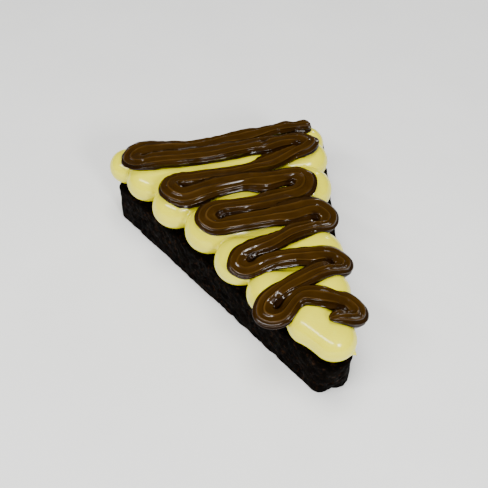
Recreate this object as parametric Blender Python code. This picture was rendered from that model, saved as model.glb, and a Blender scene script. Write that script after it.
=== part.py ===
"""A slice of brownie: a wedge of dark brownie from a round cake, rows of piped yellow cream across it
and one ridged chocolate ribbon piped to and fro over the cream.

Metres, +Z up. The slice rests on z = 0 with its tip towards -Y and its cut sides symmetrical about x = 0.
"""
from math import asin, cos, pi, radians, sin

import bmesh
import bpy
import numpy as np
from mathutils import Vector, noise

MM = 0.001
GAP = 0.3 * MM                 # clearance between the three pieces

# Brownie: a wedge of a round cake, its two cut sides meeting at an apex ahead of the worn tip.
CAKE_RADIUS = 131 * MM
HALF_ANGLE = radians(20)
APEX_Y = -72.5 * MM
TIP_RADIUS = 7.5 * MM
CORNER_RADIUS = 4 * MM
BROWNIE_HEIGHT = 17 * MM
OUTLINE_STEP = 3.2 * MM        # spacing of the wall's columns
CRUMB_DEPTH = 0.45 * MM        # relief of the torn crumb on the walls
CRUMB_SIZE = 3.5 * MM
CRUMB_MIX = (1.2, 0.6)         # strength of the coarse and of the fine crumb
FINE_CRUMB = 0.45              # size of the fine crumb as a share of the coarse
TIP_UNDERCUT = 3 * MM          # how far the foot of the tip has crumbled back
WALL_LEVELS = (                # height up the wall as a share of the whole, and how far it is set in
    (0.00, 1.0 * MM),
    (0.05, 0.3 * MM),
    (0.24, 0.0 * MM),
    (0.45, 0.2 * MM),
    (0.68, 0.0 * MM),
    (0.90, 0.2 * MM),
    (0.97, 0.5 * MM),
    (1.00, 1.2 * MM),
)

# Cream: seven rows piped across the wedge, each with a round bulb at both ends, in millimetres seen from
# above: left end x, y, right end x, y, then the radius of the left and of the right bulb.
CREAM_ROWS = (
    (-38.0, 51.6, 31.8, 41.2, 7.4, 7.4),
    (-33.2, 39.8, 27.2, 30.6, 8.6, 8.6),
    (-28.0, 22.8, 20.6, 14.6, 8.8, 9.2),
    (-20.6, 6.9, 13.6, -1.2, 9.2, 8.8),
    (-16.2, -10.6, 10.4, -17.2, 8.8, 8.9),
    (-11.5, -26.9, 6.0, -33.2, 8.2, 8.2),
    (-3.9, -42.7, 0.1, -50.9, 8.2, 7.6),
)
CREAM_BASE = BROWNIE_HEIGHT + GAP
CREAM_SQUASH = 0.88            # height of a row's section as a share of its width
CREAM_SEAT = 0.82              # height of a row's middle over its foot, in half heights of the section
ROW_WAIST = 0.05               # how much slimmer a row is halfway along
ROW_SIDES = 20                 # facets round a row
ROW_CAP_RINGS = 5              # rings on each round end
ROW_BODY_RINGS = 4
CORE_INSET = 8 * MM            # cream between the rows, set in from the brownie's edge
CORE_HEIGHT = 6 * MM
# Pulled-off wisp at the tip: its two ends, in millimetres with heights over the base, and its two radii.
PEAK = ((2.4, -54.4, 5.2), (5.0, -57.6, 3.4), 2.4, 0.5)

# Chocolate ribbon: its middle line seen from above, in millimetres. It starts at the back right corner,
# turns ten times, left and right in turn, and ends on the last bulb.
RIBBON_START = ((34.2, 42.7), (22.0, 43.9), (2.0, 44.3), (-14.0, 45.0))
# For each turn: the outermost point x, y of the middle line, how far behind and in front of that point its
# two legs lie, a point x, y that the leg after it passes, and how far along the two legs press together.
RIBBON_TURNS = (
    (-37.2, 45.8, 4.1, 5.9, -11.0, 36.0, 58),
    (27.5, 30.2, 4.0, 2.1, -4.5, 25.2, 24),
    (-29.5, 23.2, 4.6, 6.1, -11.0, 17.6, 34),
    (16.5, 11.4, 2.9, 3.0, -2.5, 5.6, 22),
    (-22.6, 4.2, 2.8, 3.8, -5.0, -1.9, 46),
    (18.0, -6.7, 3.1, 2.9, -3.0, -13.5, 20),
    (-19.0, -16.9, 2.6, 2.8, -7.0, -20.0, 17),
    (14.5, -26.4, 3.1, 2.8, -3.2, -31.6, 16),
    (-17.5, -36.4, 3.5, 3.2, -5.5, -36.9, 17),
    (10.5, -45.2, 4.8, 3.6, 3.0, -48.9, 20),
)
RIBBON_END = (-1.2, -48.7)
LEG_INSET = (6.0, 4.8)         # how far in from a turn its legs are measured: wide part, narrow part
WIDE_TURNS = 3
TURN_SHOULDER = (0.32, 0.72)   # where a turn's shoulders lie, from its outermost point to its legs: in, out
RIBBON_HALF_WIDTH = 3.6 * MM
RIBBON_RISE = 2.2 * MM         # height of the section over its middle line
RIBBON_DROP = 3.2 * MM         # depth of the section under it, mostly sunk in the cream
RIBBON_LIFT = 1.6 * MM         # height of the middle line over the levelled cream
RIDGES = 7                     # ridges of the star nozzle along the ribbon's upper side
RIDGE_DEPTH = 0.14             # depth of a groove as a share of the section's size
RIDGE_SPREAD = radians(115)    # ridges reach this far to either side of straight up
FOOT_WIDTH = 0.5               # width of the section's foot as a share of its full width
TURN_SWELL = (0.36, 0.10)      # how much wider the ribbon is where it turns, at its start and its end
SWELL_GAIN = 2.0               # how soon a bend reaches that width
SLIT_INSET = 4.6 * MM          # the slit that a turn closes on begins this far in from its outermost point
SLIT_LENGTH = 7 * MM
SLIT_SHARE = (0.94, 1.08)      # how much of the way to the slit's near and far end the inner half reaches
SLIT_MOST = 6 * MM             # and at the most
MEET_SHARE = 0.54              # share of the way to the other leg that a leg pressed to it reaches
MEET_FADE = 6 * MM             # length over which they part
SLIT_REACH = (9 * MM, 15 * MM) # how far along the ribbon a turn's slit holds it, and where it has let go
SLIT_VIEW = 30                 # points to either side of a turn that its slit points midway between
BLUNT_START = (0.4, 3.0 * MM)  # size of the first ring, and how far on the ribbon has its full size
THIN_TAIL = (0.16, 7.0 * MM)   # size of the last ring, and where the ribbon begins to thin
LINE_STEP = 0.5 * MM           # spacing of the points worked out along the middle line
RING_STEP = 3.2 * MM
RING_TURN = radians(17)
BEND_REACH = 3                 # points to either side over which its bend is evened out,
FAN_REACH = 6                  # the way its rings point,
HEIGHT_REACH = 6               # its height and lean
SWELL_REACH = 8                # and its width
LEVEL_RADIUS = 4 * MM          # the ribbon bridges hollows in the cream narrower than this
LEVEL_FLOOR = 24 * MM          # height at which it hangs where there is no cream under it
LEVEL_PROBES = 8
MAX_TILT = 0.15                # steepest slope the ribbon leans to


def clear_scene():
    for item in list(bpy.data.objects):
        bpy.data.objects.remove(item, do_unlink=True)


def make_material(name, colour, roughness, metallic=0.0):
    material = bpy.data.materials.new(name)
    material.use_nodes = True
    shader = material.node_tree.nodes["Principled BSDF"]
    shader.inputs["Base Color"].default_value = (*colour, 1.0)
    shader.inputs["Roughness"].default_value = roughness
    shader.inputs["Metallic"].default_value = metallic
    return material


def add_object(name, vertices, faces, material=None):
    """One object whose faces all point out."""
    mesh = bpy.data.meshes.new(name)
    mesh.from_pydata([tuple(v) for v in vertices], [], faces)
    tidy = bmesh.new()
    tidy.from_mesh(mesh)
    bmesh.ops.recalc_face_normals(tidy, faces=tidy.faces)
    tidy.to_mesh(mesh)
    tidy.free()
    if material:
        mesh.materials.append(material)
    item = bpy.data.objects.new(name, mesh)
    bpy.context.scene.collection.objects.link(item)
    return item


def shade(item, sharp_angle):
    item.data.shade_smooth()
    item.data.set_sharp_from_angle(angle=sharp_angle)


def loft(rings):
    """Vertices and faces of a closed skin over rings of equal length, capped at both ends."""
    count = len(rings[0])
    vertices = [vertex for ring in rings for vertex in ring]
    faces = []
    for row in range(len(rings) - 1):
        for k in range(count):
            a = row * count + k
            b = row * count + (k + 1) % count
            faces.append((a, b, b + count, a + count))
    faces.append(tuple(range(count)))
    faces.append(tuple(range(len(vertices) - count, len(vertices))))
    return vertices, faces


def arc(centre, radius, start, end, step):
    """Points and outward normals along an arc."""
    count = max(2, round(abs(end - start) * radius / step) + 1)
    normals = [(cos(a), sin(a)) for a in np.linspace(start, end, count)]
    return [((centre[0] + radius * n[0], centre[1] + radius * n[1]), n) for n in normals]


def wedge_outline(inset=0.0, step=OUTLINE_STEP):
    """Points and outward normals round the slice seen from above, anticlockwise from the tip."""
    apex_y = APEX_Y + inset / sin(HALF_ANGLE)
    back_radius = APEX_Y + CAKE_RADIUS - inset - apex_y
    tip_centre = (0.0, apex_y + TIP_RADIUS / sin(HALF_ANGLE))
    corner_reach = back_radius - CORNER_RADIUS
    corner_turn = asin(CORNER_RADIUS / corner_reach)
    right = pi / 2 - HALF_ANGLE + corner_turn
    left = pi / 2 + HALF_ANGLE - corner_turn
    right_centre = (corner_reach * cos(right), apex_y + corner_reach * sin(right))
    left_centre = (corner_reach * cos(left), apex_y + corner_reach * sin(left))
    tip = arc(tip_centre, TIP_RADIUS, pi + HALF_ANGLE, 2 * pi - HALF_ANGLE, step)
    right_corner = arc(right_centre, CORNER_RADIUS, -HALF_ANGLE, right, step / 2)
    back = arc((0.0, apex_y), back_radius, right, left, step)
    left_corner = arc(left_centre, CORNER_RADIUS, left, pi + HALF_ANGLE, step / 2)
    right_side = straight(tip[-1], right_corner[0], step)
    left_side = straight(left_corner[-1], tip[0], step)
    return tip + right_side + right_corner + back[1:-1] + left_corner + left_side


def straight(start, end, step):
    """Points strictly between two ends of a cut side, with the side's normal."""
    (ax, ay), normal = start
    (bx, by), _ = end
    count = max(2, round(np.hypot(bx - ax, by - ay) / step))
    return [((ax + (bx - ax) * k / count, ay + (by - ay) * k / count), normal) for k in range(1, count)]


def crumb(x, y, z):
    """Uneven relief of torn crumb, between about -1 and 1."""
    place = Vector((x, y, z)) / CRUMB_SIZE
    return CRUMB_MIX[0] * noise.noise(place) + CRUMB_MIX[1] * noise.noise(place / FINE_CRUMB)


def make_brownie(material):
    rings = []
    for share, set_in in WALL_LEVELS:
        z = share * BROWNIE_HEIGHT
        ring = []
        for (x, y), (nx, ny) in wedge_outline():
            at_tip = max(0.0, -ny) ** 4
            depth = set_in + TIP_UNDERCUT * at_tip * (1.0 - share) ** 2
            depth += CRUMB_DEPTH * (0.5 + 0.5 * crumb(x, y, z))
            ring.append((x - nx * depth, y - ny * depth, z))
        rings.append(ring)
    brownie = add_object("brownie", *loft(rings), material)
    shade(brownie, radians(50))
    return brownie


def section_frame(direction):
    """Two unit vectors square to a direction, the second one as upright as it can be."""
    side = np.cross(direction, (0.0, 0.0, 1.0))
    side /= np.linalg.norm(side)
    return side, np.cross(side, direction)


def capsule(start, end, start_radius, end_radius, squash, waist=0.0):
    """Rings of a piped row: a tube with a round bulb at each end."""
    start, end = np.array(start), np.array(end)
    length = np.linalg.norm(end - start)
    direction = (end - start) / length
    side, upright = section_frame(direction)
    rings = []
    for k in range(1, ROW_CAP_RINGS + 1):
        angle = pi / 2 * k / ROW_CAP_RINGS
        rings.append((-start_radius * cos(angle), start_radius * sin(angle)))
    for k in range(1, ROW_BODY_RINGS):
        share = k / ROW_BODY_RINGS
        radius = start_radius + (end_radius - start_radius) * share
        rings.append((length * share, radius * (1 - waist * sin(pi * share))))
    for k in range(ROW_CAP_RINGS, 0, -1):
        angle = pi / 2 * k / ROW_CAP_RINGS
        rings.append((length + end_radius * cos(angle), end_radius * sin(angle)))
    turns = [2 * pi * k / ROW_SIDES for k in range(ROW_SIDES)]
    return [[start + direction * along + side * radius * cos(t) + upright * squash * radius * sin(t)
             for t in turns] for along, radius in rings]


def row_middle(radius):
    """Height of a row's middle line."""
    return CREAM_BASE + CREAM_SQUASH * CREAM_SEAT * radius


def cream_pieces(grow):
    """Closed skins that make up the cream: its rows, the wisp on the last one and the core between them."""
    skins = []
    for ax, ay, bx, by, left_radius, right_radius in CREAM_ROWS:
        start = (ax * MM, ay * MM, row_middle(left_radius * MM))
        end = (bx * MM, by * MM, row_middle(right_radius * MM))
        left, right = left_radius * MM + grow, right_radius * MM + grow
        skins.append(loft(capsule(start, end, left, right, CREAM_SQUASH, ROW_WAIST)))
    root, point, root_radius, point_radius = PEAK
    ends = [(x * MM, y * MM, CREAM_BASE + z * MM) for x, y, z in (root, point)]
    skins.append(loft(capsule(*ends, root_radius * MM + grow, point_radius * MM + grow, 1.0)))
    outline = [point for point, _ in wedge_outline(CORE_INSET - grow, 12 * MM)]
    levels = (CREAM_BASE - 1 * MM, CREAM_BASE + CORE_HEIGHT + grow)
    skins.append(loft([[(x, y, z) for x, y in outline] for z in levels]))
    return skins


def make_cream(name, material, grow=0.0):
    """All the cream as one closed body with a flat foot."""
    cream = join(name, cream_pieces(grow), material)
    foot = CREAM_BASE - grow
    reach = CAKE_RADIUS
    corners = [(-reach, -reach), (reach, -reach), (reach, reach), (-reach, reach)]
    below = add_object("below_cream", *loft([[(x, y, z) for x, y in corners] for z in (-reach, foot)]))
    cut_away(cream, below)
    keep_outer_shell(cream)
    shade(cream, radians(40))
    return cream


def join(name, skins, material):
    """Closed skins that overlap, joined into one body."""
    group = bpy.data.collections.new(name + "_pieces")
    first, *others = skins
    for number, skin in enumerate(others):
        piece = add_object(f"{name}_piece_{number}", *skin)
        bpy.context.scene.collection.objects.unlink(piece)
        group.objects.link(piece)
    body = add_object(name, *first, material)
    union = body.modifiers.new("join", "BOOLEAN")
    union.operation = "UNION"
    union.operand_type = "COLLECTION"
    union.collection = group
    union.solver = "MANIFOLD"
    apply_modifiers(body)
    for piece in list(group.objects):
        bpy.data.objects.remove(piece, do_unlink=True)
    bpy.data.collections.remove(group)
    return body


def cut_away(body, cutter):
    """The body less the cutter, which is used up."""
    cut = body.modifiers.new("cut", "BOOLEAN")
    cut.operation = "DIFFERENCE"
    cut.object = cutter
    cut.solver = "MANIFOLD"
    apply_modifiers(body)
    bpy.data.objects.remove(cutter, do_unlink=True)


def apply_modifiers(item):
    bpy.context.view_layer.update()
    evaluated = item.evaluated_get(bpy.context.evaluated_depsgraph_get())
    mesh = bpy.data.meshes.new_from_object(evaluated)
    item.modifiers.clear()
    item.data = mesh


def keep_outer_shell(item):
    """Only the largest of a mesh's shells is kept: loose scraps are dropped and sealed hollows filled."""
    body = bmesh.new()
    body.from_mesh(item.data)
    waiting = set(body.verts)
    shells = []
    while waiting:
        shell, edge_of_shell = set(), [waiting.pop()]
        while edge_of_shell:
            vertex = edge_of_shell.pop()
            shell.add(vertex)
            for edge in vertex.link_edges:
                other = edge.other_vert(vertex)
                if other in waiting:
                    waiting.remove(other)
                    edge_of_shell.append(other)
        shells.append(shell)
    shells.sort(key=len)
    for shell in shells[:-1]:
        bmesh.ops.delete(body, geom=list(shell), context="VERTS")
    body.to_mesh(item.data)
    body.free()


def cream_top(x, y):
    """Height of the cream's upper side at points seen from above, and LEVEL_FLOOR beside it."""
    top = np.full(np.shape(x), LEVEL_FLOOR)
    for row in CREAM_ROWS:
        ax, ay, bx, by, left_radius, right_radius = (value * MM for value in row)
        dx, dy = bx - ax, by - ay
        share = np.clip(((x - ax) * dx + (y - ay) * dy) / (dx * dx + dy * dy), 0, 1)
        radius = left_radius + (right_radius - left_radius) * share
        height2 = radius ** 2 - (x - ax - share * dx) ** 2 - (y - ay - share * dy) ** 2
        bulge = row_middle(radius) + CREAM_SQUASH * np.sqrt(np.maximum(height2, 0))
        top = np.where(height2 > 0, np.maximum(top, bulge), top)
    return top


def levelled_top(x, y):
    """Height of the cream averaged over a patch as wide as the ribbon."""
    total = 2 * cream_top(x, y)
    for k in range(LEVEL_PROBES):
        angle = 2 * pi * k / LEVEL_PROBES
        for reach in (LEVEL_RADIUS / 2, LEVEL_RADIUS):
            total = total + cream_top(x + reach * cos(angle), y + reach * sin(angle))
    return total / (2 + 2 * LEVEL_PROBES)


def ribbon_route():
    """Points that the ribbon's middle line passes, seen from above."""
    route = [np.array(point) for point in RIBBON_START]
    for number, (x, y, behind, ahead, next_x, next_y, _) in enumerate(RIBBON_TURNS):
        inset = LEG_INSET[0] if number < WIDE_TURNS else LEG_INSET[1]
        leg_x = x + inset * inward(number)
        shoulder_x = x + TURN_SHOULDER[0] * inset * inward(number)
        out = TURN_SHOULDER[1]
        route += [np.array((leg_x, y + behind)), np.array((shoulder_x, y + out * behind)), np.array((x, y))]
        route += [np.array((shoulder_x, y - out * ahead)), np.array((leg_x, y - ahead))]
        route.append(np.array((next_x, next_y)))
    route.append(np.array(RIBBON_END))
    return [point * MM for point in route]


def inward(number):
    """Which way along x a turn's legs run from it."""
    return 1 if number % 2 == 0 else -1


def smooth_line(points, step):
    """A Catmull-Rom curve through points, spaced by the root of their distances so that it can't loop."""
    padded = [2 * points[0] - points[1], *points, 2 * points[-1] - points[-2]]
    line = []
    for p0, p1, p2, p3 in zip(padded, padded[1:], padded[2:], padded[3:]):
        t1 = np.linalg.norm(p1 - p0) ** 0.5
        t2 = t1 + np.linalg.norm(p2 - p1) ** 0.5
        t3 = t2 + np.linalg.norm(p3 - p2) ** 0.5
        for t in np.linspace(t1, t2, max(2, round(np.linalg.norm(p2 - p1) / step)), endpoint=False):
            a1 = (t1 - t) / t1 * p0 + t / t1 * p1
            a2 = (t2 - t) / (t2 - t1) * p1 + (t - t1) / (t2 - t1) * p2
            a3 = (t3 - t) / (t3 - t2) * p2 + (t - t2) / (t3 - t2) * p3
            b1 = (t2 - t) / t2 * a1 + t / t2 * a2
            b2 = (t3 - t) / (t3 - t1) * a2 + (t - t1) / (t3 - t1) * a3
            line.append((t2 - t) / (t2 - t1) * b1 + (t - t1) / (t2 - t1) * b2)
    line.append(points[-1])
    return np.array(line)


def soften(values, reach):
    """Running mean of values along the line."""
    padded = np.pad(values, reach, mode="edge")
    return np.convolve(padded, np.ones(2 * reach + 1) / (2 * reach + 1), "valid")


def ring_stations(line, heading):
    """Which points of the line get a ring: after a step along it or a turn, and more at its blunt start."""
    stations = [0]
    for k in range(1, len(line) - 1):
        gone = np.linalg.norm(line[k] - line[stations[-1]])
        turned = abs(heading[k] - heading[stations[-1]])
        at_start = k * LINE_STEP <= BLUNT_START[1]
        if gone >= (RING_STEP / 3 if at_start else RING_STEP) or turned >= RING_TURN:
            stations.append(k)
    return stations + [len(line) - 1]


def ribbon_section():
    """The ribbon's section: across and up, in shares of its half width and height, ridged above."""
    points = []
    count = 2 * RIDGES - 1
    for k in range(count):
        angle = pi / 2 - RIDGE_SPREAD + 2 * RIDGE_SPREAD * k / (count - 1)
        size = 1.0 if k % 2 == 0 else 1.0 - RIDGE_DEPTH
        points.append((size * cos(angle), size * RIBBON_RISE * sin(angle)))
    foot = [(-FOOT_WIDTH, -RIBBON_DROP), (FOOT_WIDTH, -RIBBON_DROP)]
    return points + foot


def ribbon_legs():
    """The ribbon as overlapping runs of rings, one for each leg from turn to turn."""
    line, rings = ribbon_rings()
    splits = [0, *turning_points(line), len(rings) - 1]
    legs = []
    for first, last in zip(splits, splits[1:]):
        leg = rings[first:last + 1]
        if first > 0:
            leg.insert(0, shrunk(rings[first - 1]))
        if last < len(rings) - 1:
            leg.append(shrunk(rings[last + 1]))
        legs.append(leg)
    return legs


def shrunk(ring):
    """A ring at half size, which lies inside the leg that it runs on into."""
    middle = sum(ring) / len(ring)
    return [middle + (point - middle) / 2 for point in ring]


def ribbon_lean(line):
    """Which way is up for the ribbon at each point: it leans a little with the cream under it."""
    slopes = []
    for step in ((MM, 0.0), (0.0, MM)):
        ahead = levelled_top(line[:, 0] + step[0], line[:, 1] + step[1])
        behind = levelled_top(line[:, 0] - step[0], line[:, 1] - step[1])
        slope = np.clip((ahead - behind) / (2 * MM), -MAX_TILT, MAX_TILT)
        slopes.append(soften(slope, HEIGHT_REACH))
    lean = np.stack((-slopes[0], -slopes[1], np.ones(len(line))), axis=1)
    return lean / np.linalg.norm(lean, axis=1)[:, None]


def outer_widths(bend):
    """Half the ribbon's width at each point: it swells where it turns."""
    crowding = np.abs(bend) * RIBBON_HALF_WIDTH
    swell = soften(soften(np.minimum(1.0, SWELL_GAIN * crowding), SWELL_REACH), SWELL_REACH)
    most = TURN_SWELL[0] + (TURN_SWELL[1] - TURN_SWELL[0]) * np.linspace(0, 1, len(bend)) ** 2
    return RIBBON_HALF_WIDTH * (1.0 + most * swell)


def fold(line, tangent, along, width):
    """Directions to the ribbon's right, and the width of its right and of its left half.

    In a turn the rings fan out from the slit between its two legs, and the inner half reaches about as far
    as the slit. Farther along, the legs widen to press against each other."""
    right = np.stack((tangent[:, 1], -tangent[:, 0]), axis=1)
    halves = [width.copy(), width.copy()]
    held, lost = SLIT_REACH
    for number, turn in enumerate(turning_points(line)):
        before, after = max(0, turn - SLIT_VIEW), min(len(line) - 1, turn + SLIT_VIEW)
        slit = (line[before] + line[after]) / 2 - line[turn]
        slit /= np.linalg.norm(slit)
        from_tip = line - line[turn] - slit * SLIT_INSET
        beside = np.clip(from_tip @ slit, 0, SLIT_LENGTH)
        away = from_tip - slit * beside[:, None]
        distance = np.maximum(np.linalg.norm(away, axis=1), MM)
        inner = distance * (SLIT_SHARE[0] + (SLIT_SHARE[1] - SLIT_SHARE[0]) * beside / SLIT_LENGTH)
        hold = soften(np.clip((lost - abs(along - along[turn])) / (lost - held), 0, 1), BEND_REACH)
        right = right * (1 - hold)[:, None] + inward(number) * away * (hold / distance)[:, None]
        meeting = np.maximum(width, MEET_SHARE * other_leg(line, turn))
        press = np.clip((RIBBON_TURNS[number][-1] * MM - abs(along - along[turn])) / MEET_FADE, 0, 1)
        halves[(number + 1) % 2] += (np.minimum(inner, SLIT_MOST) - width) * hold
        halves[(number + 1) % 2] += (np.minimum(meeting, SLIT_MOST) - width) * press * (1 - hold)
    right = np.stack((soften(right[:, 0], FAN_REACH), soften(right[:, 1], FAN_REACH)), axis=1)
    right /= np.linalg.norm(right, axis=1)[:, None]
    return right, soften(halves[0], BEND_REACH), soften(halves[1], BEND_REACH)


def other_leg(line, turn):
    """How far each point before a turn is from the line after it, and the other way round."""
    apart = np.linalg.norm(line[:turn + 1, None] - line[None, turn:], axis=2)
    return np.concatenate((apart.min(axis=1), apart.min(axis=0)[1:]))


def turning_points(line):
    """Which point of the line is the outermost one of each turn."""
    return [int(np.argmin(np.hypot(line[:, 0] - x * MM, line[:, 1] - y * MM))) for x, y, *_ in RIBBON_TURNS]


def ribbon_rings():
    """Middle points and rings of the ribbon, laid over the cream and leaning with it."""
    line = smooth_line(ribbon_route(), LINE_STEP)
    tangent = np.gradient(line, axis=0)
    tangent /= np.linalg.norm(tangent, axis=1)[:, None]
    heading = np.unwrap(np.arctan2(tangent[:, 1], tangent[:, 0]))
    along = np.concatenate(([0.0], np.cumsum(np.linalg.norm(np.diff(line, axis=0), axis=1))))
    bend = soften(np.gradient(heading, along), BEND_REACH)
    height = soften(levelled_top(line[:, 0], line[:, 1]), HEIGHT_REACH) + RIBBON_LIFT
    lean = ribbon_lean(line)
    right, right_width, left_width = fold(line, tangent, along, outer_widths(bend))
    section = ribbon_section()
    stations = ring_stations(line, heading)
    rings = []
    for k in stations:
        side = np.array((*right[k], 0.0))
        side -= lean[k] * (side @ lean[k])
        side /= np.linalg.norm(side)
        end_scale = end_taper(along[k], along[-1])
        ring = []
        for across, up in section:
            half_width = right_width[k] if across > 0 else left_width[k]
            offset = side * across * half_width + lean[k] * up
            ring.append(np.array((*line[k], height[k])) + offset * end_scale)
        rings.append(ring)
    return line[stations], rings


def end_taper(gone, total):
    """Size of the section near the ribbon's ends: it starts blunt and round and ends in a thin tail."""
    blunt_size, blunt_length = BLUNT_START
    tail_size, tail_length = THIN_TAIL
    missing = max(0.0, 1.0 - gone / blunt_length)
    start = blunt_size + (1.0 - blunt_size) * (1.0 - missing ** 2) ** 0.5
    finish = tail_size + (1.0 - tail_size) * min(1.0, (total - gone) / tail_length) ** 0.8
    return min(start, finish)


def make_chocolate(material, cream_outside):
    """The ribbon, its crossings joined and its underside fitted over the cream."""
    chocolate = join("chocolate_ribbon", [loft(leg) for leg in ribbon_legs()], material)
    cut_away(chocolate, cream_outside)
    keep_outer_shell(chocolate)
    shade(chocolate, radians(45))
    return chocolate


def build():
    clear_scene()
    make_brownie(make_material("brownie_crumb", (0.016, 0.010, 0.008), 0.8))
    make_cream("cream", make_material("piped_cream", (0.72, 0.66, 0.24), 0.4))
    cream_outside = make_cream("cream_outside", None, GAP)
    make_chocolate(make_material("chocolate", (0.070, 0.030, 0.012), 0.3), cream_outside)


build()
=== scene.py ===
"""Looks of a slice of brownie: dark crumb, smooth piped cream and a glossy ridged ribbon of chocolate.

Metres, +Z up. The slice rests on z = 0 with its tip towards -Y and its cut sides symmetrical about x = 0.
"""

from math import asin, cos, pi, radians, sin

import bmesh
import bpy
import numpy as np
from mathutils import Matrix, Vector, noise


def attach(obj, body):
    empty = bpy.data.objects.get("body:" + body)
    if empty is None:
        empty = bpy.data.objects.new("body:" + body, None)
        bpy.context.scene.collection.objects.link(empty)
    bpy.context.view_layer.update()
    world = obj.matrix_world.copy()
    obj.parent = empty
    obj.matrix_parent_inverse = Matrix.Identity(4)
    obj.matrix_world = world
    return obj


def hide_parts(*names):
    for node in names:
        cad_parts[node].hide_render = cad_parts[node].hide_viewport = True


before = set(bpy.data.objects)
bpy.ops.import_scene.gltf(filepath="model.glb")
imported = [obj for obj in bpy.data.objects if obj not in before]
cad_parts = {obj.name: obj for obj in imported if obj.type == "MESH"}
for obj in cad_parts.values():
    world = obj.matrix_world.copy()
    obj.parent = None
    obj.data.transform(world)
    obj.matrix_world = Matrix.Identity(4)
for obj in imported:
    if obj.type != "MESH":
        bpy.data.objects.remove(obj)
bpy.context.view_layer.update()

MM = 0.001
GAP = 0.3 * MM                 # clearance between the three pieces

# Brownie: a wedge of a round cake, its two cut sides meeting at an apex ahead of the worn tip.
CAKE_RADIUS = 131 * MM
HALF_ANGLE = radians(20)
APEX_Y = -72.5 * MM
TIP_RADIUS = 7.5 * MM
CORNER_RADIUS = 4 * MM
BROWNIE_HEIGHT = 17 * MM
OUTLINE_STEP = 0.6 * MM        # spacing of the wall's columns
WALL_ROWS = 30                 # rows up the wall
TOP_RINGS = 10                 # rings of the top, in from its edge
TOP_REACH = 7 * MM             # how far in they go
EDGE_ROUNDING = 1.1 * MM       # wear of the upper and lower edge
TIP_UNDERCUT = 3 * MM          # how far the foot of the tip has crumbled back
UNDERCUT_FOCUS = 4             # how soon that undercut fades out round the tip
CRUMB_LAYERS = (               # size of the crumb and its depth, coarse to fine
    (3.5 * MM, 0.55 * MM),
    (1.6 * MM, 0.34 * MM),
    (0.8 * MM, 0.16 * MM),
)
PORE_SIZE = 2.2 * MM
PORE_DEPTH = 0.5 * MM
PORE_SHARE = 0.45              # how much of its cell a pore takes up, to either side
PORE_CURVE = 0.7               # below 1 its walls are steepest at its mouth
TOP_RELIEF = 0.6               # relief of the top as a share of the walls' relief
RIM_RELIEF = 0.7               # and of the upper and lower rim

# Cream: seven rows piped across the wedge, each with a round bulb at both ends, in millimetres seen from
# above: left end x, y, right end x, y, then the radius of the left and of the right bulb.
CREAM_ROWS = (
    (-38.0, 51.6, 31.8, 41.2, 7.4, 7.4),
    (-33.2, 39.8, 27.2, 30.6, 8.6, 8.6),
    (-28.0, 22.8, 20.6, 14.6, 8.8, 9.2),
    (-20.6, 6.9, 13.6, -1.2, 9.2, 8.8),
    (-16.2, -10.6, 10.4, -17.2, 8.8, 8.9),
    (-11.5, -26.9, 6.0, -33.2, 8.2, 8.2),
    (-3.9, -42.7, 0.1, -50.9, 8.2, 7.6),
)
CREAM_BASE = BROWNIE_HEIGHT + GAP
CREAM_SQUASH = 0.88            # height of a row's section as a share of its width
CREAM_SEAT = 0.82              # height of a row's middle over its foot, in half heights of the section
ROW_WAIST = 0.05               # how much slimmer a row is halfway along
ROW_SIDES = 64                 # facets round a row
ROW_CAP_RINGS = 16             # rings on each round end
ROW_BODY_RINGS = 24
CORE_INSET = 8 * MM            # cream between the rows, set in from the brownie's edge
CORE_HEIGHT = 6 * MM
CORE_SINK = 1 * MM             # it starts this far under the cream's base, where it is levelled off
CORE_STEP = 12 * MM            # spacing of the points round it
# Pulled-off wisp at the tip, in millimetres: its root and its point, with heights over the base, and the
# radius of each.
WISP_ENDS = ((2.4, -54.4, 5.2), (5.0, -57.6, 3.4))
WISP_RADII = (2.4, 0.5)
CREAM_GRAIN = 0.5 * MM         # size of the facets that the joined rows are skinned with
CREAM_SOFTENING = 4            # passes that round the creases between rows
CREAM_DENT = 0.3 * MM          # depth of the broad, shallow dents in the piping
CREAM_DENT_SIZE = 9 * MM

# Chocolate ribbon: its middle line seen from above, in millimetres. It starts at the back right corner,
# turns ten times, left and right in turn, and ends on the last bulb.
RIBBON_START = ((34.2, 42.7), (22.0, 43.9), (2.0, 44.3), (-14.0, 45.0))
# For each turn: the outermost point x, y of the middle line, how far behind and in front of that point its
# two legs lie, a point x, y that the leg after it passes, and how far along the two legs press together.
RIBBON_TURNS = (
    (-37.2, 45.8, 4.1, 5.9, -11.0, 36.0, 58),
    (27.5, 30.2, 4.0, 2.1, -4.5, 25.2, 24),
    (-29.5, 23.2, 4.6, 6.1, -11.0, 17.6, 34),
    (16.5, 11.4, 2.9, 3.0, -2.5, 5.6, 22),
    (-22.6, 4.2, 2.8, 3.8, -5.0, -1.9, 46),
    (18.0, -6.7, 3.1, 2.9, -3.0, -13.5, 20),
    (-19.0, -16.9, 2.6, 2.8, -7.0, -20.0, 17),
    (14.5, -26.4, 3.1, 2.8, -3.2, -31.6, 16),
    (-17.5, -36.4, 3.5, 3.2, -5.5, -36.9, 17),
    (10.5, -45.2, 4.8, 3.6, 3.0, -48.9, 20),
)
RIBBON_END = (-1.2, -48.7)
LEG_INSET = (6.0, 4.8)         # how far in from a turn its legs are measured: wide part, narrow part
WIDE_TURNS = 3
TURN_SHOULDER = (0.32, 0.72)   # where a turn's shoulders lie, from its outermost point to its legs: in, out
RIBBON_HALF_WIDTH = 3.6 * MM
RIBBON_RISE = 2.2 * MM         # height of the section over its middle line
RIBBON_DROP = 3.2 * MM         # depth of the section under it, mostly sunk in the cream
RIBBON_LIFT = 1.6 * MM         # height of the middle line over the levelled cream
RIDGES = 7                     # ridges of the star nozzle along the ribbon's upper side
RIDGE_POINTS = 8               # points from one ridge to the next
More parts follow.
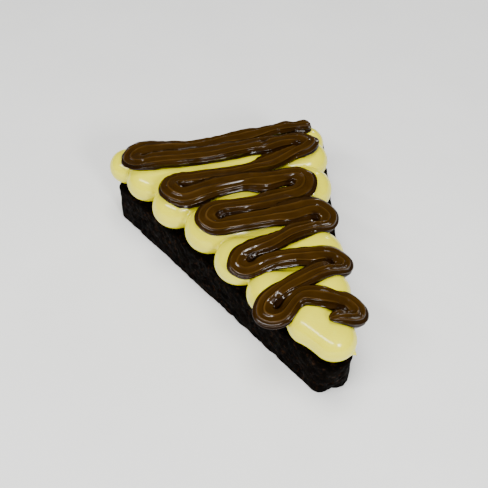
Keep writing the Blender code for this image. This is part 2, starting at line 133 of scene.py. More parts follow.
RIDGE_DEPTH = 0.25             # depth of a groove as a share of the section's size
CREST_SHARPNESS = 0.8          # below 1 the ridges between the grooves come to an edge
RIDGE_DRIFT = 0.5              # how far the ridges wander sideways, as a share of their spacing
DEPTH_DRIFT = 0.8              # how much the depth of the grooves varies
DRIFT_SIZE = 14 * MM           # along this much of the ribbon
DRIFT_ROW = 9.0                # where the ridges' wander is read in the noise, apart from their depth
RIDGE_SPREAD = radians(115)    # ridges reach this far to either side of straight up
FOOT_WIDTH = 0.5               # width of the section's foot as a share of its full width
TURN_SWELL = (0.36, 0.10)      # how much wider the ribbon is where it turns, at its start and its end
SWELL_GAIN = 2.0               # how soon a bend reaches that width
SLIT_INSET = 4.6 * MM          # the slit that a turn closes on begins this far in from its outermost point
SLIT_LENGTH = 7 * MM
SLIT_NEAREST = 1 * MM          # a point of the line counts as no nearer to the slit than this
SLIT_SHARE = 1.2               # the inner half reaches this share of the way to the slit, a little past it
SLIT_MOST = 6 * MM             # and no half is wider than this where it turns or presses
MEET_SHARE = 0.64              # share of the way to the other leg that a leg pressed to it reaches
MEET_FADE = 6 * MM             # length over which they part
SLIT_REACH = (9 * MM, 15 * MM)  # how far along the ribbon a turn's slit holds it, and where it has let go
SLIT_VIEW = 30                 # points to either side of a turn that its slit points midway between
BLUNT_START = (0.3, 3.0 * MM)  # size of the first ring, and how far on the ribbon has its full size
THIN_TAIL = (0.16, 7.0 * MM)   # size of the last ring, and how far from it the ribbon begins to thin
TAIL_CURVE = 0.8               # below 1 the tail thins slowly at first
LINE_STEP = 0.5 * MM           # spacing of the points worked out along the middle line
BEND_REACH = 3                 # points to either side over which its bend is evened out,
FAN_REACH = 6                  # the way its rings point,
HEIGHT_REACH = 6               # its height and lean
SWELL_REACH = 8                # and its width
LEVEL_RADIUS = 4 * MM          # the ribbon bridges hollows in the cream narrower than this
LEVEL_FLOOR = 24 * MM          # height at which it hangs where there is no cream under it
LEVEL_PROBES = 8
SLOPE_STEP = 1 * MM            # the cream's slope is measured over this much to either side
MAX_TILT = 0.15                # steepest slope the ribbon leans to
HOLLOW_SIZE = 1.5 * MM         # the ribbon sinks a little where each of its turns curls round
HOLLOW_DEPTH = 0.9 * MM
TEAR = (11.2, 35.8)            # and where its second leg tore, seen from above, in millimetres
PILE_NEAR = 6.4 * MM           # a leg closer than this to an earlier one is piled up on it
PILE_RISE = 0.30               # by this share of what they overlap
PILE_SKIP = 24                 # points along the line that count as the same leg
WOBBLE = 0.08                  # unevenness of the ribbon's surface, as a share of the section's size
WOBBLE_SIZE = 5 * MM
LUMPY_START = (0.30, 50 * MM)  # how much more uneven the ribbon starts, and how far along that has gone

# Colours: the darkest and the lightest of each.
CRUMB_BLACK = ((0.0006, 0.0005, 0.0003), (0.0025, 0.0016, 0.001))
CRUMB_BROWN = ((0.001, 0.0007, 0.0005), (0.05, 0.022, 0.01))
CREAM_YELLOW = ((0.71, 0.648, 0.004), (0.77, 0.712, 0.008))
# Chocolate: painted shade for its sides and hollows, then the lit colour of its top.
CHOCOLATE_SHADED_SIDE = ((0.009, 0.0030, 0.0003), (0.014, 0.0050, 0.0004))
CHOCOLATE_LIT_TOP = ((0.022, 0.0090, 0.0005), (0.032, 0.0135, 0.0009))
# Painted highlight along the edges of its ridges.
CHOCOLATE_RIDGE_HIGHLIGHT = ((0.043, 0.020, 0.002), (0.072, 0.035, 0.006))
FLOOR_WHITE = ((0.90, 0.90, 0.88), (0.94, 0.94, 0.92))
FLOOR_REACH = 1.5              # from the slice to each edge of the floor

# Lights: name, place, width and height, power in watts, and whether the gloss mirrors it.
LIGHTS = (
    ("front", (0.04, -0.62, 0.42), (0.13, 0.13), 3.8, True),
    ("left", (-0.49, -0.30, 0.64), (0.75, 0.06), 6.5, True),
    ("back", (0.46, 0.40, 0.30), (0.07, 0.07), 0.4, True),
    ("soft_top", (0.0, 0.06, 0.90), (0.45, 0.45), 6.6, False),
    ("soft_fill", (-0.20, -0.50, 0.70), (0.40, 0.40), 2.0, False),
)
LIGHT_AIM = (0.0, 0.0, 0.02)
ROOM_COLOUR = (1.0, 0.99, 0.97, 1.0)
ROOM_STRENGTH = 0.09

CAMERA_PLACE = (-0.08265, -0.17762, 0.21896)
CAMERA_ELEVATION = radians(46.075)
CAMERA_AZIMUTH = radians(-22.158)
CAMERA_ROLL = radians(1.458)
CAMERA_LENS = 57.54            # focal length, and the sensor's width, in millimetres
CAMERA_SENSOR = 36
CAMERA_NEAREST = 10 * MM       # nothing closer than this is drawn


def add_object(name, vertices, faces, material):
    """One smooth object whose faces all point out."""
    mesh = bpy.data.meshes.new(name)
    mesh.from_pydata([tuple(v) for v in vertices], [], faces)
    skin = bmesh.new()
    skin.from_mesh(mesh)
    bmesh.ops.recalc_face_normals(skin, faces=skin.faces)
    skin.to_mesh(mesh)
    skin.free()
    mesh.shade_smooth()
    mesh.materials.append(material)
    item = bpy.data.objects.new(name, mesh)
    bpy.context.scene.collection.objects.link(item)
    return item


def loft(rings):
    """Vertices and faces of a closed skin over rings of equal length, capped at both ends."""
    count = len(rings[0])
    vertices = [vertex for ring in rings for vertex in ring]
    faces = []
    for row in range(len(rings) - 1):
        for k in range(count):
            a = row * count + k
            b = row * count + (k + 1) % count
            faces.append((a, b, b + count, a + count))
    faces.append(tuple(range(count)))
    faces.append(tuple(range(len(vertices) - count, len(vertices))))
    return vertices, faces


def arc(centre, radius, start, end, step):
    """Points and outward normals along an arc."""
    count = max(2, round(abs(end - start) * radius / step) + 1)
    normals = [(cos(a), sin(a)) for a in np.linspace(start, end, count)]
    return [((centre[0] + radius * n[0], centre[1] + radius * n[1]), n) for n in normals]


def straight(start, end, step):
    """Points strictly between two ends of a cut side, with the side's normal."""
    (ax, ay), normal = start
    (bx, by), _ = end
    count = max(2, round(np.hypot(bx - ax, by - ay) / step))
    return [((ax + (bx - ax) * k / count, ay + (by - ay) * k / count), normal) for k in range(1, count)]


def wedge_outline(inset, step):
    """Points and outward normals round the slice seen from above, anticlockwise from the tip."""
    apex_y = APEX_Y + inset / sin(HALF_ANGLE)
    back_radius = APEX_Y + CAKE_RADIUS - inset - apex_y
    tip_centre = (0.0, apex_y + TIP_RADIUS / sin(HALF_ANGLE))
    corner_reach = back_radius - CORNER_RADIUS
    corner_turn = asin(CORNER_RADIUS / corner_reach)
    right = pi / 2 - HALF_ANGLE + corner_turn
    left = pi / 2 + HALF_ANGLE - corner_turn
    right_centre = (corner_reach * cos(right), apex_y + corner_reach * sin(right))
    left_centre = (corner_reach * cos(left), apex_y + corner_reach * sin(left))
    tip = arc(tip_centre, TIP_RADIUS, pi + HALF_ANGLE, 2 * pi - HALF_ANGLE, step)
    right_corner = arc(right_centre, CORNER_RADIUS, -HALF_ANGLE, right, step / 2)
    back = arc((0.0, apex_y), back_radius, right, left, step)
    left_corner = arc(left_centre, CORNER_RADIUS, left, pi + HALF_ANGLE, step / 2)
    right_side = straight(tip[-1], right_corner[0], step)
    left_side = straight(left_corner[-1], tip[0], step)
    return tip + right_side + right_corner + back[1:-1] + left_corner + left_side


def mottling(place, size):
    """A value around a half that wanders between 0 and 1 over patches of a size."""
    return 0.5 + 0.5 * noise.noise(place / size)


def crumb_depth(place):
    """How far the torn crumb lies in from the cut at a place; about half of it has pores as well."""
    depth = 0.0
    for size, strength in CRUMB_LAYERS:
        depth += strength * mottling(place, size)
    coarsest = CRUMB_LAYERS[0][0]
    if noise.noise(place / coarsest) > 0.0:
        nearest = noise.voronoi(place / PORE_SIZE)[0][0]
        depth += PORE_DEPTH * max(0.0, 1.0 - nearest / PORE_SHARE) ** PORE_CURVE
    return depth


def brownie_levels():
    """Height and set-in of each ring of the brownie's skin, from the foot up and in over the top."""
    levels = []
    for k in range(WALL_ROWS + 1):
        z = BROWNIE_HEIGHT * k / WALL_ROWS
        edge = min(z, BROWNIE_HEIGHT - z)
        set_in = EDGE_ROUNDING * max(0.0, 1.0 - edge / EDGE_ROUNDING) ** 2
        levels.append((z, set_in))
    for k in range(1, TOP_RINGS + 1):
        levels.append((BROWNIE_HEIGHT, EDGE_ROUNDING + TOP_REACH * k / TOP_RINGS))
    return levels


def brownie_point(x, y, normal, z, set_in):
    """A point of the brownie's skin: the crumb lies in from its walls and down from its top."""
    nx, ny = normal
    at_tip = max(0.0, -ny) ** UNDERCUT_FOCUS
    depth = set_in + TIP_UNDERCUT * at_tip * (1.0 - z / BROWNIE_HEIGHT) ** 2
    dip = crumb_depth(Vector((x - nx * depth, y - ny * depth, z)))
    if set_in > EDGE_ROUNDING:
        return x - nx * depth, y - ny * depth, z - TOP_RELIEF * dip
    depth += dip if 0.0 < z < BROWNIE_HEIGHT else RIM_RELIEF * dip
    return x - nx * depth, y - ny * depth, z


def make_brownie(material):
    """The wedge of brownie with its torn crumb."""
    outline = wedge_outline(0.0, OUTLINE_STEP)
    rings = [[brownie_point(x, y, normal, z, set_in) for (x, y), normal in outline]
             for z, set_in in brownie_levels()]
    return add_object("brownie_look", *loft(rings), material)


def section_frame(direction):
    """Two unit vectors square to a direction, the second one as upright as it can be."""
    side = np.cross(direction, (0.0, 0.0, 1.0))
    side /= np.linalg.norm(side)
    return side, np.cross(side, direction)


def capsule(start, end, start_radius, end_radius, squash, waist):
    """Rings of a tube with a round bulb at each end: its section is squashed, and it thins to a waist."""
    start, end = np.array(start), np.array(end)
    length = np.linalg.norm(end - start)
    direction = (end - start) / length
    side, upright = section_frame(direction)
    rings = []
    for k in range(1, ROW_CAP_RINGS + 1):
        angle = pi / 2 * k / ROW_CAP_RINGS
        rings.append((-start_radius * cos(angle), start_radius * sin(angle)))
    for k in range(1, ROW_BODY_RINGS):
        share = k / ROW_BODY_RINGS
        radius = start_radius + (end_radius - start_radius) * share
        rings.append((length * share, radius * (1 - waist * sin(pi * share))))
    for k in range(ROW_CAP_RINGS, 0, -1):
        angle = pi / 2 * k / ROW_CAP_RINGS
        rings.append((length + end_radius * cos(angle), end_radius * sin(angle)))
    turns = [2 * pi * k / ROW_SIDES for k in range(ROW_SIDES)]
    return [[start + direction * along + side * radius * cos(t) + upright * squash * radius * sin(t)
             for t in turns] for along, radius in rings]


def row_middle(radius):
    """Height of a row's middle line."""
    return CREAM_BASE + CREAM_SQUASH * CREAM_SEAT * radius


def cream_pieces():
    """Closed skins that make up the cream: its rows, the wisp on the last one and the core between them."""
    skins = []
    for ax, ay, bx, by, left_radius, right_radius in CREAM_ROWS:
        start = (ax * MM, ay * MM, row_middle(left_radius * MM))
        end = (bx * MM, by * MM, row_middle(right_radius * MM))
        rings = capsule(start, end, left_radius * MM, right_radius * MM, CREAM_SQUASH, ROW_WAIST)
        skins.append(loft(rings))
    root, point = [(x * MM, y * MM, CREAM_BASE + z * MM) for x, y, z in WISP_ENDS]
    root_radius, point_radius = [radius * MM for radius in WISP_RADII]
    skins.append(loft(capsule(root, point, root_radius, point_radius, squash=1.0, waist=0.0)))
    outline = wedge_outline(CORE_INSET, CORE_STEP)
    levels = (CREAM_BASE - CORE_SINK, CREAM_BASE + CORE_HEIGHT)
    skins.append(loft([[(x, y, z) for (x, y), _ in outline] for z in levels]))
    return skins


def make_cream(material):
    """All the cream as one smooth skin with soft creases between its rows."""
    vertices, faces = [], []
    for skin_vertices, skin_faces in cream_pieces():
        first = len(vertices)
        vertices += skin_vertices
        faces += [tuple(first + k for k in face) for face in skin_faces]
    cream = add_object("cream_look", vertices, faces, material)
    skin = cream.modifiers.new("one_skin", "REMESH")
    skin.mode = "VOXEL"
    skin.voxel_size = CREAM_GRAIN
    softer = cream.modifiers.new("soft_creases", "SMOOTH")
    softer.iterations = CREAM_SOFTENING
    apply_modifiers(cream)
    dent(cream.data)
    cream.data.shade_smooth()
    return cream


def dent(mesh):
    """Presses shallow dents into the cream and levels it off at its base."""
    places, normals = vertex_vectors(mesh, "co"), vertex_vectors(mesh, "normal")
    dents = [CREAM_DENT * mottling(Vector(place), CREAM_DENT_SIZE) for place in places]
    places -= normals * np.array(dents)[:, None]
    places[:, 2] = np.maximum(places[:, 2], CREAM_BASE)
    mesh.vertices.foreach_set("co", places.ravel())


def vertex_vectors(mesh, label):
    """The place or the normal of every vertex of a mesh."""
    values = np.empty(3 * len(mesh.vertices))
    mesh.vertices.foreach_get(label, values)
    return values.reshape(-1, 3)


def apply_modifiers(item):
    """Gives an object the mesh that its modifiers make of it, and drops them."""
    bpy.context.view_layer.update()
    evaluated = item.evaluated_get(bpy.context.evaluated_depsgraph_get())
    mesh = bpy.data.meshes.new_from_object(evaluated)
    item.modifiers.clear()
    item.data = mesh


def cream_top(x, y):
    """Height of the cream's upper side at points seen from above, and LEVEL_FLOOR beside it."""
    top = np.full(np.shape(x), LEVEL_FLOOR)
    for row in CREAM_ROWS:
        ax, ay, bx, by, left_radius, right_radius = (value * MM for value in row)
        dx, dy = bx - ax, by - ay
        share = np.clip(((x - ax) * dx + (y - ay) * dy) / (dx * dx + dy * dy), 0, 1)
        radius = left_radius + (right_radius - left_radius) * share
        height2 = radius ** 2 - (x - ax - share * dx) ** 2 - (y - ay - share * dy) ** 2
        bulge = row_middle(radius) + CREAM_SQUASH * np.sqrt(np.maximum(height2, 0))
        top = np.where(height2 > 0, np.maximum(top, bulge), top)
    return top


def levelled_top(x, y):
    """Height of the cream averaged over a patch as wide as the ribbon."""
    total = 2 * cream_top(x, y)
    for k in range(LEVEL_PROBES):
        angle = 2 * pi * k / LEVEL_PROBES
        for reach in (LEVEL_RADIUS / 2, LEVEL_RADIUS):
            total = total + cream_top(x + reach * cos(angle), y + reach * sin(angle))
    return total / (2 + 2 * LEVEL_PROBES)


def ribbon_route():
    """Points that the ribbon's middle line passes, seen from above."""
    shoulder_in, shoulder_out = TURN_SHOULDER
    route = list(RIBBON_START)
    for number, (x, y, behind, ahead, next_x, next_y, _) in enumerate(RIBBON_TURNS):
        inset = inward(number) * (LEG_INSET[0] if number < WIDE_TURNS else LEG_INSET[1])
        leg_x, shoulder_x = x + inset, x + shoulder_in * inset
        route += [(leg_x, y + behind), (shoulder_x, y + shoulder_out * behind), (x, y)]
        route += [(shoulder_x, y - shoulder_out * ahead), (leg_x, y - ahead), (next_x, next_y)]
    route.append(RIBBON_END)
    return [np.array(point) * MM for point in route]


def inward(number):
    """Which way along x a turn's legs run from it."""
    return 1 if number % 2 == 0 else -1


def smooth_line(points, step):
    """A Catmull-Rom curve through points, spaced by the root of their distances so that it can't loop."""
    padded = [2 * points[0] - points[1], *points, 2 * points[-1] - points[-2]]
    line = []
    for p0, p1, p2, p3 in zip(padded, padded[1:], padded[2:], padded[3:]):
        t1 = np.linalg.norm(p1 - p0) ** 0.5
        t2 = t1 + np.linalg.norm(p2 - p1) ** 0.5
        t3 = t2 + np.linalg.norm(p3 - p2) ** 0.5
        for t in np.linspace(t1, t2, max(2, round(np.linalg.norm(p2 - p1) / step)), endpoint=False):
            a1 = (t1 - t) / t1 * p0 + t / t1 * p1
            a2 = (t2 - t) / (t2 - t1) * p1 + (t - t1) / (t2 - t1) * p2
            a3 = (t3 - t) / (t3 - t2) * p2 + (t - t2) / (t3 - t2) * p3
            b1 = (t2 - t) / t2 * a1 + t / t2 * a2
            b2 = (t3 - t) / (t3 - t1) * a2 + (t - t1) / (t3 - t1) * a3
            line.append((t2 - t) / (t2 - t1) * b1 + (t - t1) / (t2 - t1) * b2)
    line.append(points[-1])
    return np.array(line)


def soften(values, reach):
    """Running mean of values along the line."""
    padded = np.pad(values, reach, mode="edge")
    return np.convolve(padded, np.ones(2 * reach + 1) / (2 * reach + 1), "valid")


def ribbon_section(along):
    """The ribbon's section at a place along it: across, up, how near a ridge's edge and how near the top.

    Across is a share of the half width. The ridges' place and depth drift a little along the ribbon."""
    points = []
    gaps = RIDGES - 1
    count = gaps * RIDGE_POINTS + 1
    drift = RIDGE_DRIFT * noise.noise(Vector((along / DRIFT_SIZE, DRIFT_ROW, 0.0)))
    for k in range(count):
        share = k / (count - 1)
        angle = pi / 2 - RIDGE_SPREAD + 2 * RIDGE_SPREAD * share
        deeper = 1.0 + DEPTH_DRIFT * noise.noise(Vector((along / DRIFT_SIZE, 0.0, gaps * share)))
        groove = abs(sin(pi * (gaps * share + drift))) ** CREST_SHARPNESS
        size = 1.0 - RIDGE_DEPTH * deeper * groove
        points.append((size * cos(angle), size * RIBBON_RISE * sin(angle), 1.0 - groove, sin(angle)))
    foot = [(-FOOT_WIDTH, -RIBBON_DROP, 0.0, -1.0), (FOOT_WIDTH, -RIBBON_DROP, 0.0, -1.0)]
    return points + foot


def ribbon_lean(line):
    """Which way is up for the ribbon at each point: it leans a little with the cream under it."""
    slopes = []
    for dx, dy in ((SLOPE_STEP, 0.0), (0.0, SLOPE_STEP)):
        ahead = levelled_top(line[:, 0] + dx, line[:, 1] + dy)
        behind = levelled_top(line[:, 0] - dx, line[:, 1] - dy)
        slope = np.clip((ahead - behind) / (2 * SLOPE_STEP), -MAX_TILT, MAX_TILT)
        slopes.append(soften(slope, HEIGHT_REACH))
    lean = np.stack((-slopes[0], -slopes[1], np.ones(len(line))), axis=1)
    return lean / np.linalg.norm(lean, axis=1)[:, None]


def outer_widths(bend):
    """Half the ribbon's width at each point: it swells where it turns."""
    crowding = np.abs(bend) * RIBBON_HALF_WIDTH
    swell = soften(soften(np.minimum(1.0, SWELL_GAIN * crowding), SWELL_REACH), SWELL_REACH)
    most = TURN_SWELL[0] + (TURN_SWELL[1] - TURN_SWELL[0]) * np.linspace(0, 1, len(bend)) ** 2
    return RIBBON_HALF_WIDTH * (1.0 + most * swell)


def fold(line, tangent, along, width):
    """Directions to the ribbon's right, and the width of its right and of its left half.

    In a turn the rings fan out from the slit between its two legs, and the inner half reaches about as far
    as the slit. Farther along, the legs widen to press against each other."""
    right = np.stack((tangent[:, 1], -tangent[:, 0]), axis=1)
    halves = [width.copy(), width.copy()]
    held, lost = SLIT_REACH
    for number, turn in enumerate(turning_points(line)):
        away = way_from_slit(line, turn)
        distance = np.maximum(np.linalg.norm(away, axis=1), SLIT_NEAREST)
        from_turn = abs(along - along[turn])
        hold = soften(np.clip((lost - from_turn) / (lost - held), 0, 1), BEND_REACH)
        press = np.clip((RIBBON_TURNS[number][-1] * MM - from_turn) / MEET_FADE, 0, 1)
        right = right * (1 - hold)[:, None] + inward(number) * away * (hold / distance)[:, None]
        curled = distance * SLIT_SHARE
        meeting = np.maximum(width, MEET_SHARE * other_leg(line, turn))
        inner_half = halves[(number + 1) % 2]
        inner_half += (np.minimum(curled, SLIT_MOST) - width) * hold
        inner_half += (np.minimum(meeting, SLIT_MOST) - width) * press * (1 - hold)
    right = np.stack((soften(right[:, 0], FAN_REACH), soften(right[:, 1], FAN_REACH)), axis=1)
    right /= np.linalg.norm(right, axis=1)[:, None]
    return right, soften(halves[0], BEND_REACH), soften(halves[1], BEND_REACH)


def way_from_slit(line, turn):
    """The way to each point of the line from the nearest point of the slit that a turn closes on."""
    slit = slit_direction(line, turn)
    from_end = line - line[turn] - slit * SLIT_INSET
    beside = np.clip(from_end @ slit, 0, SLIT_LENGTH)
    return from_end - slit * beside[:, None]


def slit_direction(line, turn):
    """Which way the slit between a turn's two legs runs from it."""
    before, after = max(0, turn - SLIT_VIEW), min(len(line) - 1, turn + SLIT_VIEW)
    slit = (line[before] + line[after]) / 2 - line[turn]
    return slit / np.linalg.norm(slit)


def other_leg(line, turn):
    """How far each point before a turn is from the line after it, and the other way round."""
    apart = np.linalg.norm(line[:turn + 1, None] - line[None, turn:], axis=2)
    return np.concatenate((apart.min(axis=1), apart.min(axis=0)[1:]))


def turning_points(line):
    """Which point of the line is the outermost one of each turn."""
    return [int(np.argmin(np.hypot(line[:, 0] - x * MM, line[:, 1] - y * MM))) for x, y, *_ in RIBBON_TURNS]


def pile_height(line):
    """How far each point of the ribbon is lifted by the earlier legs that it overlaps."""
    pile = np.zeros(len(line))
    for k in range(PILE_SKIP + 1, len(line)):
        nearest = np.linalg.norm(line[:k - PILE_SKIP] - line[k], axis=1).min()
        pile[k] = PILE_RISE * max(0.0, PILE_NEAR - nearest)
    return soften(pile, HEIGHT_REACH)


def hollow_shares(places, line):
    """How far each point of the ribbon's skin lies in one of its hollows, from 0 to 1."""
    hollows = [line[turn] + slit_direction(line, turn) * SLIT_INSET for turn in turning_points(line)]
    hollows.append(np.array(TEAR) * MM)
    distances = [np.hypot(places[:, 0] - x, places[:, 1] - y) for x, y in hollows]
    return np.exp(-(np.min(distances, axis=0) / HOLLOW_SIZE) ** 2)


def ribbon_rings(line, along, sections):
    """The rings of the ribbon's skin: each section laid over the cream at its place along the line."""
    tangent = np.gradient(line, axis=0)
    tangent /= np.linalg.norm(tangent, axis=1)[:, None]
    heading = np.unwrap(np.arctan2(tangent[:, 1], tangent[:, 0]))
    bend = soften(np.gradient(heading, along), BEND_REACH)
    height = soften(levelled_top(line[:, 0], line[:, 1]), HEIGHT_REACH) + RIBBON_LIFT + pile_height(line)
    lean = ribbon_lean(line)
    right, right_width, left_width = fold(line, tangent, along, outer_widths(bend))
    rings = []
    for k, section in enumerate(sections):
        side = np.array((*right[k], 0.0))
        side -= lean[k] * (side @ lean[k])
        side /= np.linalg.norm(side)
        offsets = section_offsets(section, side, lean[k], (right_width[k], left_width[k]), along[k])
        size = end_taper(along[k], along[-1])
        middle = np.array((*line[k], height[k]))
        rings.append([middle + offset * size for offset in offsets])
    return rings


def section_offsets(section, side, upward, half_widths, gone):
    """The way from the ribbon's middle to each point of a section, made a little uneven."""
    uneven = WOBBLE + LUMPY_START[0] * max(0.0, 1.0 - gone / LUMPY_START[1])
    offsets = []
    for across, up, _, _ in section:
        half_width = half_widths[0] if across > 0 else half_widths[1]
        lump = 1.0 + uneven * noise.noise(Vector((gone / WOBBLE_SIZE, across, up / half_width)))
        offsets.append((side * across * half_width + upward * up) * lump)
    return offsets


def make_ribbon(material):
    """The ribbon as one long ridged skin, which carries how near each point is to a ridge and to the top,
    less its hollows: where its painted highlight and painted shade go.
    """
    line = smooth_line(ribbon_route(), LINE_STEP)
    along = np.concatenate(([0.0], np.cumsum(np.linalg.norm(np.diff(line, axis=0), axis=1))))
    sections = [ribbon_section(gone) for gone in along]
    vertices, faces = loft(ribbon_rings(line, along, sections))
    places = np.array(vertices)
    hollow = hollow_shares(places, line)
    places[:, 2] -= HOLLOW_DEPTH * hollow
    ribbon = add_object("ribbon_look", places, faces, material)
    crests = [crest for section in sections for _, _, crest, _ in section]
    tops = np.array([top for section in sections for _, _, _, top in section])
    # The top value, less the hollows, sets the painted shade; the crest value places the painted highlight.
    for label, values in (("crest", crests), ("top", tops - hollow)):
        ribbon.data.attributes.new(label, "FLOAT", "POINT").data.foreach_set("value", values)
    return ribbon


def end_taper(gone, total):
    """Size of the section near the ribbon's ends: it starts blunt and round and ends in a thin tail."""
    blunt_size, blunt_length = BLUNT_START
    tail_size, tail_length = THIN_TAIL
    missing = max(0.0, 1.0 - gone / blunt_length)
    start = blunt_size + (1.0 - blunt_size) * (1.0 - missing ** 2) ** 0.5
    finish = tail_size + (1.0 - tail_size) * min(1.0, (total - gone) / tail_length) ** TAIL_CURVE
    return min(start, finish)


class Paint:
    """A material and short ways to add and join its nodes."""

    def __init__(self, name, **settings):
        """The settings are constants of the shader, named as its sockets are, with _ for a space."""
        self.material = bpy.data.materials.new(name)
        self.material.use_nodes = True
        self.tree = self.material.node_tree
        self.shader = self.tree.nodes["Principled BSDF"]
        for label, value in settings.items():
            self.shader.inputs[label.replace("_", " ")].default_value = value
        self.place = self.tree.nodes.new("ShaderNodeTexCoord").outputs["Object"]

    def noise(self, size, detail=2.0, roughness=0.5):
        """A noise pattern of a size in metres, between 0 and 1."""
        node = self.tree.nodes.new("ShaderNodeTexNoise")
        node.inputs["Scale"].default_value = 1.0 / size
        node.inputs["Detail"].default_value = detail
        node.inputs["Roughness"].default_value = roughness
        self.tree.links.new(self.place, node.inputs["Vector"])
        return node.outputs["Fac"]

    def mesh_value(self, name):
        """A value that the mesh carries at its points."""
        node = self.tree.nodes.new("ShaderNodeAttribute")
        node.attribute_name = name
        return node.outputs["Fac"]

    def ramp(self, value, colours, start=0.3, end=0.7):
        """A colour that goes from the first to the second of two while a value goes from start to end."""
        node = self.tree.nodes.new("ShaderNodeValToRGB")
        for element, position, colour in zip(node.color_ramp.elements, (start, end), colours):
            element.position = position
            element.color = (*colour, 1.0)
        self.tree.links.new(value, node.inputs["Fac"])
        return node.outputs["Color"]

    def number(self, value, low, high, start=0.3, end=0.7):
        """A number that goes from low to high while a value goes from start to end."""
        node = self.tree.nodes.new("ShaderNodeMapRange")
        node.inputs["From Min"].default_value = start
        node.inputs["From Max"].default_value = end
        node.inputs["To Min"].default_value = low
        node.inputs["To Max"].default_value = high
        self.tree.links.new(value, node.inputs["Value"])
        return node.outputs["Result"]

    def mix(self, share, first, second):
        """The second colour over the first where share is high, by the node's sockets for colours."""
        node = self.tree.nodes.new("ShaderNodeMix")
        node.data_type = "RGBA"
        self.tree.links.new(share, node.inputs["Factor"])
        self.tree.links.new(first, node.inputs[6])
        self.tree.links.new(second, node.inputs[7])
        return node.outputs[2]

    def bump(self, value, depth, strength):
        """Fine relief of a depth in metres, too fine for the mesh."""
        node = self.tree.nodes.new("ShaderNodeBump")
        node.inputs["Distance"].default_value = depth
        node.inputs["Strength"].default_value = strength
        self.tree.links.new(value, node.inputs["Height"])
        self.tree.links.new(node.outputs["Normal"], self.shader.inputs["Normal"])

    def join(self, value, label):
        """Lets a value drive one of the shader's inputs."""
        self.tree.links.new(value, self.shader.inputs[label])


def crumb_paint():
    """Near-black brownie crumb with brown flecks, moist in places."""
    paint = Paint("brownie_crumb", Specular_IOR_Level=0.01)
    black = paint.ramp(paint.noise(6 * MM, detail=4.0), CRUMB_BLACK, 0.35, 0.7)
    brown = paint.ramp(paint.noise(1.2 * MM, detail=3.0), CRUMB_BROWN, 0.52, 0.8)
    flecked = paint.number(paint.noise(2.5 * MM), 0.0, 0.7, 0.45, 0.65)
    paint.join(paint.mix(flecked, black, brown), "Base Color")
    paint.join(paint.number(paint.noise(2.0 * MM), 0.5, 0.9), "Roughness")
    paint.bump(paint.noise(0.5 * MM, detail=4.0, roughness=0.6), depth=0.25 * MM, strength=0.8)
    return paint.material


def cream_paint():
    """Smooth yellow cream with a soft shine."""
    paint = Paint("piped_cream", Subsurface_Weight=0.15, Subsurface_Scale=1.5 * MM,
                  Subsurface_Radius=(1.0, 0.8, 0.25))
    paint.join(paint.ramp(paint.noise(12 * MM), CREAM_YELLOW), "Base Color")
    paint.join(paint.number(paint.noise(7 * MM), 0.15, 0.21), "Roughness")
    paint.bump(paint.noise(2.2 * MM), depth=0.05 * MM, strength=0.5)
    return paint.material


def chocolate_paint():
    """Glossy chocolate cream with painted light: a painted highlight along the edges of its ridges, and
    painted shade down its sides and in its hollows.
    """
    paint = Paint("chocolate", Specular_IOR_Level=0.25)
    # Painted shade for the sides and hollows, and the lit colour of the top.
    side = paint.ramp(paint.noise(5 * MM, detail=3.0), CHOCOLATE_SHADED_SIDE)
    top = paint.ramp(paint.noise(5 * MM, detail=3.0), CHOCOLATE_LIT_TOP)
    # Painted highlight along the ridges' edges.
    ridge = paint.ramp(paint.noise(7 * MM), CHOCOLATE_RIDGE_HIGHLIGHT, 0.35, 0.65)
    # Where the painted highlight lies along the ridges.
    ridge_highlight_share = paint.number(paint.mesh_value("crest"), 0.0, 1.0, 0.4, 1.0)
    # Painted shade where the mesh leaves its top: down its sides and in its hollows.
    lit_share = paint.number(paint.mesh_value("top"), 0.0, 1.0, 0.1, 0.8)
    paint.join(paint.mix(lit_share, side, paint.mix(ridge_highlight_share, top, ridge)), "Base Color")
    paint.join(paint.number(paint.noise(3 * MM), 0.09, 0.16), "Roughness")
    paint.bump(paint.noise(3.5 * MM, detail=1.0), depth=0.10 * MM, strength=0.6)
    return paint.material


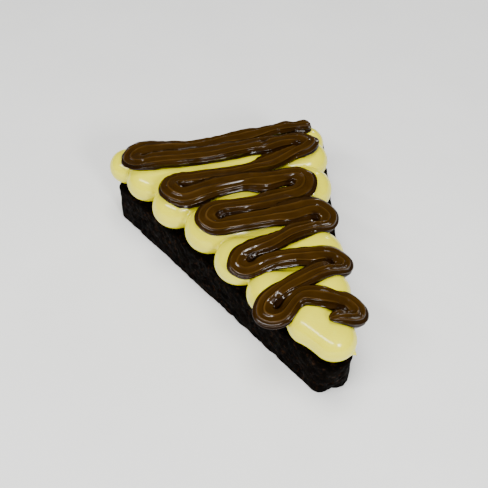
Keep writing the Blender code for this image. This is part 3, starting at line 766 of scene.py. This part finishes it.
def floor_paint():
    """Pale matt table top."""
    paint = Paint("pale_floor", Roughness=0.8)
    paint.join(paint.ramp(paint.noise(50 * MM, detail=3.0), FLOOR_WHITE), "Base Color")
    return paint.material


def make_floor():
    """The table top that the slice stands on."""
    corners = [(x * FLOOR_REACH, y * FLOOR_REACH, 0.0) for x, y in ((-1, -1), (1, -1), (1, 1), (-1, 1))]
    floor = add_object("floor", corners, [(0, 1, 2, 3)], floor_paint())


def add_light(name, place, sides, power, mirrored):
    """A soft rectangular light aimed at the slice; one that isn't mirrored leaves no highlights."""
    light = bpy.data.lights.new(name, "AREA")
    light.shape = "RECTANGLE"
    light.size, light.size_y = sides
    light.energy = power
    item = bpy.data.objects.new(name, light)
    bpy.context.scene.collection.objects.link(item)
    item.visible_glossy = mirrored
    item.location = place
    item.rotation_euler = (Vector(LIGHT_AIM) - Vector(place)).to_track_quat("-Z", "Y").to_euler()


def make_room():
    """The faint even light that comes from all round."""
    world = bpy.data.worlds.new("soft_room")
    world.use_nodes = True
    background = world.node_tree.nodes["Background"]
    background.inputs["Color"].default_value = ROOM_COLOUR
    background.inputs["Strength"].default_value = ROOM_STRENGTH
    bpy.context.scene.world = world


def make_camera():
    """The camera at the photograph's place and angle."""
    camera = bpy.data.cameras.new("camera")
    camera.sensor_width = CAMERA_SENSOR
    camera.lens = CAMERA_LENS
    camera.clip_start = CAMERA_NEAREST
    item = bpy.data.objects.new("camera", camera)
    bpy.context.scene.collection.objects.link(item)
    aim = Matrix.Rotation(CAMERA_AZIMUTH, 4, "Z") @ Matrix.Rotation(pi / 2 - CAMERA_ELEVATION, 4, "X")
    item.matrix_world = Matrix.Translation(CAMERA_PLACE) @ aim @ Matrix.Rotation(CAMERA_ROLL, 4, "Z")
    bpy.context.scene.camera = item


def place_piece(piece, node):
    """Sets a piece on the slice's body in place of its solid."""
    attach(piece, "root")
    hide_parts(node)


place_piece(make_brownie(crumb_paint()), "brownie")
place_piece(make_cream(cream_paint()), "cream")
place_piece(make_ribbon(chocolate_paint()), "chocolate_ribbon")
make_floor()
for light in LIGHTS:
    add_light(*light)
make_room()
make_camera()
